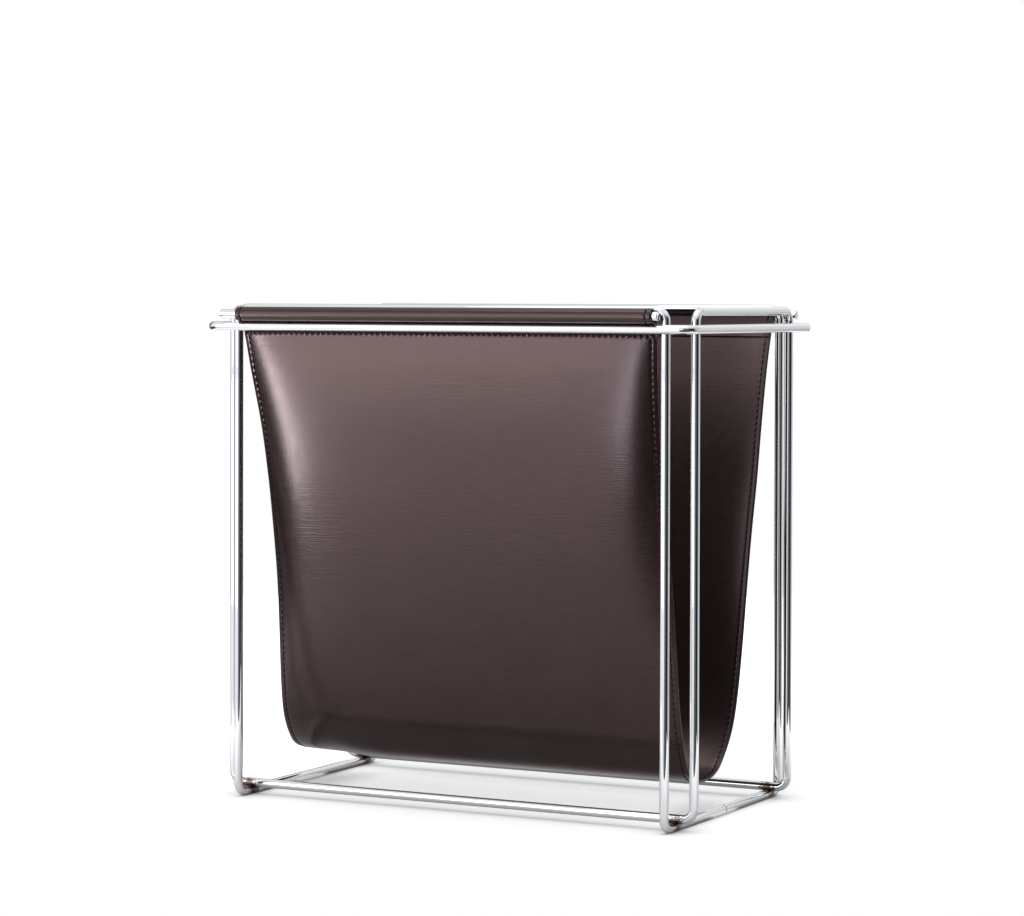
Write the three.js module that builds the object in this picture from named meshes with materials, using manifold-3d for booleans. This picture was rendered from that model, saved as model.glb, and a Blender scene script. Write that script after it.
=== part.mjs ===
// Magazine basket. A bent rod frame carries a leather sling on two loose rods.
// Millimetres, +Z up, floor at z = 0. +X runs along the long side, +Y to the back.

import * as THREE from 'three';
import { mergeVertices } from 'three/addons/utils/BufferGeometryUtils.js';
import Module from 'manifold-3d';

const wasm = await Module();
wasm.setup();
const { Manifold, Mesh: SolidMesh } = wasm;

// Frame: one rod size for all five rods. Sizes and places are those of rod centre lines.
// The base loop and the rim take theirs from the top loop, by the steps named here.
const rodDia = 7;
const bendRadius = 8.75;
const topLoopWidth = 371;
const topLoopDepth = 215;
const topLoopHeight = 387;
const baseLoopOutset = 15.75;
const baseLoopInset = 18.5;
const endRailDrop = 1.3;
const rimDrop = 14.3;
const weldSink = 1.4;
const weldGap = 0.3;
const footFilletRadius = 4.6;
const rimFilletRadius = 3.5;

// Loose rods that the sling hangs from. Each is longer than the top loop is wide, and the
// shifts are how far it has slid along X.
const hangerOverrun = 9;
const hangerChamfer = 0.6;
const frontHangerShift = -6.3;
const backHangerShift = 7;

// Leather: two plies, sewn along both sides and along each hem. The sleeves stop short of
// the top loop's corners.
const plyThickness = 0.8;
const plyGap = 0.3;
const sleevePlay = 0.4;
const restGap = 0.5;
const sleeveInset = 6;
const slingLift = 22.4;
const slingLean = 8.5;
const foldLength = 9.4;
const curlDepth = 9.5;
const curlReach = 11;
const sideSwing = 5;

// Thread: cords that lie along the seams, clear of the leather's outer face.
const threadDia = 0.7;
const threadLift = 0.3;
const sideSeamMargin = 4.2;
const hemSeamDrop = 4.5;

// Facets and steps
const rodSides = 16;
const bendSteps = 6;
const threadSides = 6;
const filletDetail = 1;
const shoulderSteps = 5;
const wrapSteps = 13;
const stepsPerShare = 2;

const rodR = rodDia / 2;
const leatherThickness = 2 * plyThickness + plyGap;
const sleeveMidR = rodR + sleevePlay + leatherThickness / 2;
const restDistance = sleeveMidR + leatherThickness / 2 + restGap + rodR;
const shoulderMidR = rodR + restGap + leatherThickness / 2;
const contactStep = rodDia + weldGap;

// Sizes and places of the rods
const baseLoopWidth = topLoopWidth + 2 * baseLoopOutset;
const baseLoopDepth = topLoopDepth - 2 * baseLoopInset;
const baseLoopHeight = topLoopHeight - endRailDrop;
const rimHeight = topLoopHeight - rimDrop;
const hangerLength = topLoopWidth + hangerOverrun;
const sleeveLength = topLoopWidth - 2 * sleeveInset;
const footRailZ = rodR;
const baseRailZ = rodR + rodDia - weldSink;
const rimY = topLoopDepth / 2 + contactStep;
const rimX = baseLoopWidth / 2 + contactStep;

// A loose rod lies in the crook between the rim and a top rail, at the same
// distance from both. Depth is counted outward from the middle.
const crookRun = topLoopDepth / 2 - rimY;
const crookRise = topLoopHeight - rimHeight;
const crookSpan = Math.hypot(crookRun, crookRise);
const crookReach = Math.sqrt(restDistance ** 2 - (crookSpan / 2) ** 2);
const hangerY = (rimY + topLoopDepth / 2) / 2 + crookReach * crookRise / crookSpan;
const hangerZ = (rimHeight + topLoopHeight) / 2 - crookReach * crookRun / crookSpan;

// The sling's shape from the bottom up to the rim. Height is a share of the panel's rise,
// depth of its reach from the middle at the rim, curl of curlDepth, width of sleeveLength
// and drift, sideways, of sideSwing.
const slingShapeShares = [
  { height: 0, depth: 0, curl: 0.2, width: 0.975, drift: -1 },
  { height: 0.008, depth: 0.182, curl: 0.26, width: 0.975, drift: -1 },
  { height: 0.033, depth: 0.309, curl: 0.37, width: 0.976, drift: -0.95 },
  { height: 0.093, depth: 0.449, curl: 0.59, width: 0.979, drift: -0.67 },
  { height: 0.173, depth: 0.554, curl: 0.78, width: 0.973, drift: -0.28 },
  { height: 0.293, depth: 0.634, curl: 0.89, width: 0.967, drift: 0.1 },
  { height: 0.413, depth: 0.703, curl: 0.96, width: 0.962, drift: 0.36 },
  { height: 0.533, depth: 0.777, curl: 1, width: 0.958, drift: 0.54 },
  { height: 0.654, depth: 0.862, curl: 0.96, width: 0.955, drift: 0.7 },
  { height: 0.774, depth: 0.923, curl: 0.85, width: 0.959, drift: 0.55 },
  { height: 0.894, depth: 0.964, curl: 0.67, width: 0.977, drift: 0.12 },
  { height: 0.974, depth: 0.988, curl: 0.5, width: 0.991, drift: 0 },
  { height: 1, depth: 1, curl: 0.2, width: 0.996, drift: 0 },
];
// Columns of the leather from its left edge to its right, closer together where it curls.
const columnShares = [-1, -0.97, -0.92, -0.84, -0.5, 0.5, 0.84, 0.92, 0.97, 1];

const axisX = new THREE.Vector3(1, 0, 0);
const axisY = new THREE.Vector3(0, 1, 0);
const axisZ = new THREE.Vector3(0, 0, 1);

const group = new THREE.Group();
group.name = 'magazine_basket';

function material(color, metalness, roughness) {
  return new THREE.MeshStandardMaterial({ color, metalness, roughness });
}

function add(name, geometry, look) {
  const mesh = new THREE.Mesh(geometry, look);
  mesh.name = name;
  group.add(mesh);
}

const chrome = () => material(0xd4d8dc, 1, 0.08);
const solder = () => material(0x8a7256, 0.9, 0.35);
const hide = () => material(0x3d2a26, 0, 0.45);
const lining = () => material(0x241a18, 0, 0.6);
const thread = () => material(0x2a1f1c, 0, 0.8);

function toGeometry(points, indices) {
  const geometry = new THREE.BufferGeometry();
  const flat = points.flatMap((point) => [point.x, point.y, point.z]);
  geometry.setAttribute('position', new THREE.Float32BufferAttribute(flat, 3));
  geometry.setIndex(indices);
  geometry.computeVertexNormals();
  return geometry;
}

function toSolid(geometry) {
  const bare = geometry.clone();
  bare.deleteAttribute('normal');
  bare.deleteAttribute('uv');
  const merged = mergeVertices(bare);
  return new Manifold(new SolidMesh({
    numProp: 3,
    vertProperties: new Float32Array(merged.attributes.position.array),
    triVerts: new Uint32Array(merged.index.array),
  }));
}

function fromSolid(solid) {
  const mesh = solid.getMesh();
  const geometry = new THREE.BufferGeometry();
  geometry.setAttribute('position', new THREE.BufferAttribute(mesh.vertProperties, mesh.numProp));
  geometry.setIndex(new THREE.BufferAttribute(mesh.triVerts, 1));
  geometry.computeVertexNormals();
  return geometry;
}

// Stations of one closed rod: straight runs between quarter-circle bends.
function bentLoop(corners) {
  const stations = [];
  corners.forEach((corner, index) => {
    const before = corners[(index + corners.length - 1) % corners.length];
    const after = corners[(index + 1) % corners.length];
    const along = corner.clone().sub(before).normalize();
    const onward = after.clone().sub(corner).normalize();
    for (let step = 0; step <= bendSteps; step += 1) {
      const turn = (step / bendSteps) * (Math.PI / 2);
      stations.push({
        point: corner.clone()
          .addScaledVector(along, bendRadius * (Math.sin(turn) - 1))
          .addScaledVector(onward, bendRadius * (1 - Math.cos(turn))),
        tangent: along.clone().multiplyScalar(Math.cos(turn)).addScaledVector(onward, Math.sin(turn)),
      });
    }
  });
  return stations;
}

// A faceted tube, its flats turned to the first side direction. The section is carried
// along without twist; a closed tube joins its last ring to its first a few facets on.
function tube(stations, radius, sides, side, closed) {
  const reach = radius / Math.cos(Math.PI / sides);
  const points = [];
  const indices = [];
  const across = side.clone();
  let last = stations[0].tangent;
  const carry = (tangent) => {
    across.applyQuaternion(new THREE.Quaternion().setFromUnitVectors(last, tangent));
    last = tangent;
  };
  stations.forEach(({ point, tangent }) => {
    carry(tangent);
    const up = tangent.clone().cross(across);
    for (let corner = 0; corner < sides; corner += 1) {
      const angle = ((corner + 0.5) / sides) * 2 * Math.PI;
      points.push(point.clone()
        .addScaledVector(across, reach * Math.cos(angle))
        .addScaledVector(up, reach * Math.sin(angle)));
    }
  });
  carry(stations[0].tangent);
  const firstUp = last.clone().cross(side);
  const twist = Math.atan2(across.dot(firstUp), across.dot(side));
  const shift = closed ? Math.round((twist / (2 * Math.PI)) * sides) + sides : 0;
  const rings = stations.length;
  for (let ring = 0; ring < (closed ? rings : rings - 1); ring += 1) {
    const next = (ring + 1) % rings;
    const jump = next === 0 ? shift : 0;
    for (let corner = 0; corner < sides; corner += 1) {
      const a = ring * sides + corner;
      const b = ring * sides + ((corner + 1) % sides);
      const c = next * sides + ((corner + 1 + jump) % sides);
      const d = next * sides + ((corner + jump) % sides);
      indices.push(a, b, c, a, c, d);
    }
  }
  if (!closed) {
    for (let corner = 1; corner < sides - 1; corner += 1) {
      const end = (rings - 1) * sides;
      indices.push(0, corner + 1, corner, end, end + corner, end + corner + 1);
    }
  }
  return toGeometry(points, indices);
}

// A direction square to a tangent, as near to +Z as can be, or to +X on a steep one.
function squareTo(tangent) {
  const side = Math.hypot(tangent.x, tangent.y) > Math.abs(tangent.z) ? axisZ : axisX;
  return side.clone().addScaledVector(tangent, -side.dot(tangent)).normalize();
}

// A straight rod about a centre, as a solid to cut with.
function rodAlong(axis, centre, length, radius) {
  const stations = [-0.5, 0.5].map((share) => ({
    point: centre.clone().addScaledVector(axis, share * length),
    tangent: axis,
  }));
  return toSolid(tube(stations, radius, rodSides, squareTo(axis), false));
}

// Frame loops. The top loop runs along X at the top and along Y on the floor; the base
// loop runs along X at the bottom and along Y at the top.
const tx = topLoopWidth / 2;
const ty = topLoopDepth / 2;
const bx = baseLoopWidth / 2;
const by = baseLoopDepth / 2;
const topLoopCorners = [
  new THREE.Vector3(tx, -ty, topLoopHeight),
  new THREE.Vector3(tx, -ty, footRailZ),
  new THREE.Vector3(tx, ty, footRailZ),
  new THREE.Vector3(tx, ty, topLoopHeight),
  new THREE.Vector3(-tx, ty, topLoopHeight),
  new THREE.Vector3(-tx, ty, footRailZ),
  new THREE.Vector3(-tx, -ty, footRailZ),
  new THREE.Vector3(-tx, -ty, topLoopHeight),
];
const baseLoopCorners = [
  new THREE.Vector3(bx, -by, baseRailZ),
  new THREE.Vector3(bx, -by, baseLoopHeight),
  new THREE.Vector3(bx, by, baseLoopHeight),
  new THREE.Vector3(bx, by, baseRailZ),
  new THREE.Vector3(-bx, by, baseRailZ),
  new THREE.Vector3(-bx, by, baseLoopHeight),
  new THREE.Vector3(-bx, -by, baseLoopHeight),
  new THREE.Vector3(-bx, -by, baseRailZ),
];
const rimCorners = [
  new THREE.Vector3(rimX, -rimY, rimHeight),
  new THREE.Vector3(rimX, rimY, rimHeight),
  new THREE.Vector3(-rimX, rimY, rimHeight),
  new THREE.Vector3(-rimX, -rimY, rimHeight),
];
const topLoop = tube(bentLoop(topLoopCorners), rodR, rodSides, axisZ, true);
const baseLoop = tube(bentLoop(baseLoopCorners), rodR, rodSides, axisZ, true);
const rim = tube(bentLoop(rimCorners), rodR, rodSides, axisZ, true);

// The base loop is pressed down over the floor rails, so it has a saddle at each crossing.
const sidePairs = [[1, -1], [1, 1], [-1, -1], [-1, 1]];
const wideFootRails = [-1, 1].map((side) => rodAlong(
  axisY,
  new THREE.Vector3(side * tx, 0, footRailZ),
  topLoopDepth,
  rodR + weldGap,
));
const saddled = toSolid(baseLoop).subtract(wideFootRails[0]).subtract(wideFootRails[1]);

add('top_loop', topLoop, chrome());
add('base_loop', fromSolid(saddled), chrome());
add('rim_ring', rim, chrome());

// Fillets of filler metal round each contact, hollowed by both rods.
function fillet(centre, radius, rods) {
  const ball = new THREE.IcosahedronGeometry(radius, filletDetail);
  ball.translate(centre.x, centre.y, centre.z);
  let solid = toSolid(ball);
  rods.forEach((rod) => {
    solid = solid.subtract(rod);
  });
  return fromSolid(solid);
}

const cornerName = ([sx, sy]) => `${sx > 0 ? 'right' : 'left'}_${sy > 0 ? 'back' : 'front'}`;

sidePairs.forEach((pair) => {
  const [sx, sy] = pair;
  const centre = new THREE.Vector3(sx * tx, sy * by, (footRailZ + baseRailZ) / 2);
  const over = rodAlong(
    axisX,
    new THREE.Vector3(sx * tx, sy * by, baseRailZ),
    2 * footFilletRadius + rodDia,
    rodR + weldGap,
  );
  const under = wideFootRails[sx < 0 ? 0 : 1];
  const bead = fillet(centre, footFilletRadius, [over, under]);
  add(`foot_fillet_${cornerName(pair)}`, bead, solder());
});

sidePairs.forEach((pair) => {
  const [sx, sy] = pair;
  const reach = 2 * rimFilletRadius + rodDia;
  const radius = rodR + weldGap;
  const longCentre = new THREE.Vector3(sx * tx, sy * (ty + contactStep / 2), rimHeight);
  const longRods = [
    rodAlong(axisX, new THREE.Vector3(sx * tx, sy * rimY, rimHeight), reach, radius),
    rodAlong(axisZ, new THREE.Vector3(sx * tx, sy * ty, rimHeight), reach, radius),
  ];
  const endCentre = new THREE.Vector3(sx * (bx + contactStep / 2), sy * by, rimHeight);
  const endRods = [
    rodAlong(axisY, new THREE.Vector3(sx * rimX, sy * by, rimHeight), reach, radius),
    rodAlong(axisZ, new THREE.Vector3(sx * bx, sy * by, rimHeight), reach, radius),
  ];
  const longBead = fillet(longCentre, rimFilletRadius, longRods);
  const endBead = fillet(endCentre, rimFilletRadius, endRods);
  add(`rim_fillet_long_${cornerName(pair)}`, longBead, solder());
  add(`rim_fillet_end_${cornerName(pair)}`, endBead, solder());
});

// Loose rods with chamfered ends
function hanger(side, shift) {
  const half = hangerLength / 2;
  const reach = rodR / Math.cos(Math.PI / rodSides);
  const geometry = new THREE.LatheGeometry([
    new THREE.Vector2(0, -half),
    new THREE.Vector2(reach - hangerChamfer, -half),
    new THREE.Vector2(reach, hangerChamfer - half),
    new THREE.Vector2(reach, half - hangerChamfer),
    new THREE.Vector2(reach - hangerChamfer, half),
    new THREE.Vector2(0, half),
  ], rodSides);
  geometry.rotateZ(-Math.PI / 2);
  geometry.translate(shift, side * hangerY, hangerZ);
  return geometry;
}
add('front_hanger_rod', hanger(-1, frontHangerShift), chrome());
add('back_hanger_rod', hanger(1, backHangerShift), chrome());

// Half of the sling's path, from the bottom up the panel, over the rim's shoulder, round
// the loose rod from below and down the inside to the cut edge. Each station has its
// depth and height on the middle of the leather, its curl, half width and drift.
const lean = THREE.MathUtils.degToRad(slingLean);
const shoulderStart = Math.PI - lean;
const panelTopY = rimY + shoulderMidR * Math.cos(shoulderStart);
const panelTopZ = rimHeight + shoulderMidR * Math.sin(shoulderStart);
const panelFootZ = slingLift + leatherThickness / 2;
const panelRise = panelTopZ - panelFootZ;

function halfPath() {
  const mirrored = slingShapeShares.slice(1).reverse().map((row) => ({ ...row, depth: -row.depth }));
  const rows = [...mirrored, ...slingShapeShares];
  const shape = new THREE.CatmullRomCurve3(rows.map((row) => new THREE.Vector3(
    row.depth * panelTopY,
    panelFootZ + row.height * panelRise,
    row.curl * curlDepth,
  )));
  const spread = new THREE.SplineCurve(rows.map((row) => new THREE.Vector2(
    row.width * sleeveLength / 2,
    row.drift * sideSwing,
  )));
  const stations = [];
  const intervals = slingShapeShares.length - 1;
  for (let step = 0; step <= intervals * stepsPerShare; step += 1) {
    const along = 0.5 + step / (2 * intervals * stepsPerShare);
    const place = shape.getPoint(along);
    const width = spread.getPoint(along);
    stations.push({ depth: place.x, z: place.y, curl: place.z, half: width.x, drift: width.y });
  }
  const plain = { curl: 0, half: sleeveLength / 2, drift: 0 };
  const toHanger = Math.atan2(hangerZ - rimHeight, hangerY - rimY);
  for (let step = 1; step <= shoulderSteps; step += 1) {
    const angle = shoulderStart + (toHanger - shoulderStart) * (step / shoulderSteps);
    stations.push({
      ...plain,
      depth: rimY + shoulderMidR * Math.cos(angle),
      z: rimHeight + shoulderMidR * Math.sin(angle),
    });
  }
  // The inner layer of the fold lies beside the panel, one leather and one gap further in.
  const layerStep = leatherThickness + plyGap;
  const innerTop = {
    depth: panelTopY - layerStep * Math.cos(lean),
    z: panelTopZ + layerStep * Math.sin(lean),
  };
  const run = Math.hypot(hangerY - innerTop.depth, hangerZ - innerTop.z);
  const toInner = Math.atan2(innerTop.z - hangerZ, innerTop.depth - hangerY);
  const leave = toInner - Math.acos(sleeveMidR / run) + 2 * Math.PI;
  const enter = toHanger - Math.PI;
  for (let step = 1; step <= wrapSteps; step += 1) {
    const angle = enter + (leave - enter) * (step / wrapSteps);
    stations.push({
      ...plain,
      depth: hangerY + sleeveMidR * Math.cos(angle),
      z: hangerZ + sleeveMidR * Math.sin(angle),
    });
  }
  const top = slingShapeShares[slingShapeShares.length - 1];
  const hem = slingShapeShares[slingShapeShares.length - 2];
  const foldEnd = stations[(intervals - 1) * stepsPerShare];
  stations.push({
    ...innerTop,
    curl: -top.curl * curlDepth,
    half: top.width * sleeveLength / 2,
    drift: 0,
  });
  const down = (foldEnd.z - panelTopZ) / foldLength;
  const inward = Math.atan2(panelTopY - foldEnd.depth, panelTopZ - foldEnd.z);
  stations.push({
    depth: innerTop.depth - foldLength * Math.sin(inward),
    z: innerTop.z + foldLength * Math.cos(inward) * Math.sign(down),
    curl: -hem.curl * curlDepth,
    half: hem.width * sleeveLength / 2,
    drift: 0,
  });
  return stations;
}

const half = halfPath();
const slingPath = [
  ...half.slice(1).reverse().map((station) => ({ ...station, depth: -station.depth })),
  ...half,
];

// Places on the middle of the leather. Near its side edges the sheet curls towards the
// inside of the sling, fading over curlReach.
function middleAt(index, columnShare) {
  const station = slingPath[index];
  const before = slingPath[Math.max(index - 1, 0)];
  const after = slingPath[Math.min(index + 1, slingPath.length - 1)];
  const run = Math.hypot(after.depth - before.depth, after.z - before.z);
  const inY = -(after.z - before.z) / run;
  const inZ = (after.depth - before.depth) / run;
  const fromEdge = (1 - Math.abs(columnShare)) * station.half;
  const inset = station.curl * Math.exp(-fromEdge / curlReach);
  return new THREE.Vector3(
    columnShare * station.half + station.drift,
    station.depth + inset * inY,
    station.z + inset * inZ,
  );
}

// The same place moved off the middle, towards the outer face.
function leatherAt(index, columnShare, offset) {
  const nudgeShare = 0.005;
  const low = Math.max(columnShare - nudgeShare, -1);
  const high = Math.min(columnShare + nudgeShare, 1);
  const across = middleAt(index, high).sub(middleAt(index, low));
  const along = middleAt(Math.min(index + 1, slingPath.length - 1), columnShare)
    .sub(middleAt(Math.max(index - 1, 0), columnShare));
  const normal = along.cross(across).normalize();
  return middleAt(index, columnShare).addScaledVector(normal, offset);
}

// One ply between two offsets from the middle: two faces and a rim round all four edges.
function ply(inner, outer) {
  const rows = slingPath.length;
  const columns = columnShares.length;
  const points = [];
  [inner, outer].forEach((offset) => {
    slingPath.forEach((station, row) => {
      columnShares.forEach((share) => points.push(leatherAt(row, share, offset)));
    });
  });
  const at = (face, row, column) => (face * rows + row) * columns + column;
  const indices = [];
  const quad = (a, b, c, d) => indices.push(a, b, c, a, c, d);
  for (let row = 0; row < rows - 1; row += 1) {
    for (let column = 0; column < columns - 1; column += 1) {
      quad(at(1, row, column), at(1, row + 1, column), at(1, row + 1, column + 1), at(1, row, column + 1));
      quad(at(0, row, column), at(0, row, column + 1), at(0, row + 1, column + 1), at(0, row + 1, column));
    }
    const end = columns - 1;
    quad(at(0, row, 0), at(0, row + 1, 0), at(1, row + 1, 0), at(1, row, 0));
    quad(at(1, row, end), at(1, row + 1, end), at(0, row + 1, end), at(0, row, end));
  }
  for (let column = 0; column < columns - 1; column += 1) {
    const end = rows - 1;
    quad(at(0, 0, column), at(1, 0, column), at(1, 0, column + 1), at(0, 0, column + 1));
    quad(at(0, end, column + 1), at(1, end, column + 1), at(1, end, column), at(0, end, column));
  }
  return toGeometry(points, indices);
}
add('sling_outer', ply(plyGap / 2, leatherThickness / 2), hide());
add('sling_lining', ply(-leatherThickness / 2, -plyGap / 2), lining());

// Threads along the seams, on the outer face below the rim.
const threadOffset = leatherThickness / 2 + threadLift + threadDia / 2;
const intervalSteps = (slingShapeShares.length - 1) * stepsPerShare;
const middleRow = half.length - 1;

function cord(points) {
  const stations = points.map((point, index) => ({
    point,
    tangent: points[Math.min(index + 1, points.length - 1)].clone()
      .sub(points[Math.max(index - 1, 0)]).normalize(),
  }));
  return tube(stations, threadDia / 2, threadSides, squareTo(stations[0].tangent), false);
}

function sideThread(side) {
  const reach = intervalSteps - stepsPerShare;
  const points = [];
  for (let row = middleRow - reach; row <= middleRow + reach; row += 1) {
    const share = side * (1 - sideSeamMargin / slingPath[row].half);
    points.push(leatherAt(row, share, threadOffset));
  }
  return cord(points);
}

function hemThread(side) {
  const topRow = middleRow + side * intervalSteps;
  const lowRow = middleRow + side * (intervalSteps - 1);
  const drop = hemSeamDrop / (slingPath[topRow].z - slingPath[lowRow].z);
  const edge = 1 - sideSeamMargin / slingPath[topRow].half;
  return cord(columnShares.map((share) => leatherAt(topRow, share * edge, threadOffset)
    .lerp(leatherAt(lowRow, share * edge, threadOffset), drop)));
}

add('left_side_thread', sideThread(-1), thread());
add('right_side_thread', sideThread(1), thread());
add('front_hem_thread', hemThread(-1), thread());
add('back_hem_thread', hemThread(1), thread());

export default group;
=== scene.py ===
import bpy
import numpy as np
from mathutils import Matrix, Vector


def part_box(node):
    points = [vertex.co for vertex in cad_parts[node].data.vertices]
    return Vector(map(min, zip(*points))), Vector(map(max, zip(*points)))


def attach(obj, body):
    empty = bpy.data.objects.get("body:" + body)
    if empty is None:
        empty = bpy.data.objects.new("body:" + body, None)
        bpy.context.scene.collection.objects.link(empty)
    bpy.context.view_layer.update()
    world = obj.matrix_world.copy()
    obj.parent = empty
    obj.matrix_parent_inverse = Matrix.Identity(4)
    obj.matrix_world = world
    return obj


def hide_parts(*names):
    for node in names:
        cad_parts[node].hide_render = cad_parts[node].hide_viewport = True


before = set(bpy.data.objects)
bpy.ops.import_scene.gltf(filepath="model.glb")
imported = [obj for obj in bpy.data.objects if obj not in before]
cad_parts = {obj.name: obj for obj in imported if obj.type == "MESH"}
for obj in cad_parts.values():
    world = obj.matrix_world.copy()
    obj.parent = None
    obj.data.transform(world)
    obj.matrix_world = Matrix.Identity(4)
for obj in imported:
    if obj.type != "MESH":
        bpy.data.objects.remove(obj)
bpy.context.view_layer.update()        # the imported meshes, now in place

mm = 0.001
axisX, axisY, axisZ = np.eye(3)
scene = bpy.context.scene
scene.view_settings.view_transform = "Standard"
print("basket: frame loaded")


def unit(vectors):
    return vectors / np.linalg.norm(vectors, axis=-1, keepdims=True)


def placeObject(name, data, axes, place):
    # The axes are the object's own X, Y and Z, as directions in the scene.
    turned = np.eye(4)
    turned[:3, :3] = np.stack(axes, axis=1)
    turned[:3, 3] = place
    item = bpy.data.objects.new(name, data)
    item.matrix_world = Matrix(turned.tolist())
    scene.collection.objects.link(item)
    return item


# Camera, from the photograph's own perspective. The middle is the pixel that it points at.
cameraSettings = {
    "place": (1.15581, -2.20297, 0.39755),
    "yaw": 27.6414,
    "pitch": 1.0386,
    "roll": 0.1569,
    "lens": 110.308,
    "sensor": 36.0,
    "picture": (1024, 916),
    "middle": (512.5, 352.21),
    "clip": (0.05, 60.0),
}


def makeCamera(view):
    yaw, pitch, roll = np.radians([view["yaw"], view["pitch"], view["roll"]])
    forward = np.array([
        -np.sin(yaw) * np.cos(pitch), np.cos(yaw) * np.cos(pitch), -np.sin(pitch)])
    level = np.array([np.cos(yaw), np.sin(yaw), 0.0])
    above = np.cross(level, forward)
    right = np.cos(roll) * level + np.sin(roll) * above
    up = -np.sin(roll) * level + np.cos(roll) * above
    data = bpy.data.cameras.new("camera")
    data.sensor_width = view["sensor"]
    data.lens = view["lens"]
    width, height = view["picture"]
    data.shift_x = (width / 2 - view["middle"][0]) / width
    data.shift_y = (view["middle"][1] - height / 2) / width
    data.clip_start, data.clip_end = view["clip"]
    scene.camera = placeObject("camera", data, (right, up, -forward), view["place"])


makeCamera(cameraSettings)


# Nodes
def feed(tree, node, inputs):
    # Numbers and colors are set on the node's own sockets, and another node's output is linked.
    for key, value in inputs.items():
        socket = node.inputs[key]
        if isinstance(value, (int, float)):
            socket.default_value = value
        elif isinstance(value, tuple):
            socket.default_value = (*value, 1.0)[:len(socket.default_value)]
        else:
            tree.links.new(value, socket)


def addNode(tree, kind, inputs=None, **values):
    node = tree.nodes.new("ShaderNode" + kind)
    for key, value in values.items():
        setattr(node, key, value)
    feed(tree, node, inputs or {})
    return node


def mathNode(tree, operation, *values):
    return addNode(tree, "Math", dict(enumerate(values)), operation=operation).outputs[0]


def timesNode(tree, first, second):
    return mathNode(tree, "MULTIPLY", first, second)


def sumNode(tree, *parts):
    # The sum of each value times its share.
    total = 0.0
    for value, share in parts:
        total = mathNode(tree, "MULTIPLY_ADD", value, share, total)
    return total


def rangeNode(tree, value, span, start, end, kind="LINEAR"):
    # From start to end, while the value crosses the span.
    inputs = {"Value": value, "From Min": span[0], "From Max": span[1], "To Min": start, "To Max": end}
    return addNode(tree, "MapRange", inputs, interpolation_type=kind).outputs["Result"]


def easeNode(tree, value, span, start, end):
    return rangeNode(tree, value, span, start, end, "SMOOTHSTEP")


def mixColor(tree, factor, first, second):
    # The two colors of a mix node are its inputs 6 and 7, and the mixed one is its output 2.
    inputs = {"Factor": factor, 6: first, 7: second}
    return addNode(tree, "Mix", inputs, data_type="RGBA").outputs[2]


def splitNode(tree, vector):
    return addNode(tree, "SeparateXYZ", {"Vector": vector}).outputs


def noiseNode(tree, vector, scale, detail, roughness=0.5):
    inputs = {"Vector": vector, "Scale": scale, "Detail": detail, "Roughness": roughness}
    return addNode(tree, "TexNoise", inputs).outputs["Fac"]


def bumpNode(tree, height, distance, **inputs):
    inputs = {"Height": height, "Distance": distance, **inputs}
    return addNode(tree, "Bump", inputs).outputs["Normal"]


def newGroup(name, inputs, outputs):
    # Every effect starts from a place on the piece. Its other inputs are numbers or colors.
    group = bpy.data.node_groups.new(name, "ShaderNodeTree")
    group.interface.new_socket("Vector", in_out="INPUT", socket_type="NodeSocketVector")
    for title, value in inputs.items():
        kind = "NodeSocketColor" if isinstance(value, tuple) else "NodeSocketFloat"
        group.interface.new_socket(title, in_out="INPUT", socket_type=kind).default_value = value
    for title, kind in outputs.items():
        group.interface.new_socket(title, in_out="OUTPUT", socket_type="NodeSocket" + kind)
    return group, group.nodes.new("NodeGroupInput").outputs, group.nodes.new("NodeGroupOutput")


def placeEffect(tree, effect, **inputs):
    return addNode(tree, "Group", inputs, node_tree=effect).outputs


def objectPlace(tree):
    return addNode(tree, "TexCoord").outputs["Object"]


def meshValue(tree, name):
    return addNode(tree, "Attribute", attribute_name=name).outputs["Fac"]


def newMaterial(name):
    material = bpy.data.materials.new(name)
    material.use_nodes = True
    tree = material.node_tree
    return material, tree, tree.nodes["Principled BSDF"]


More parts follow.
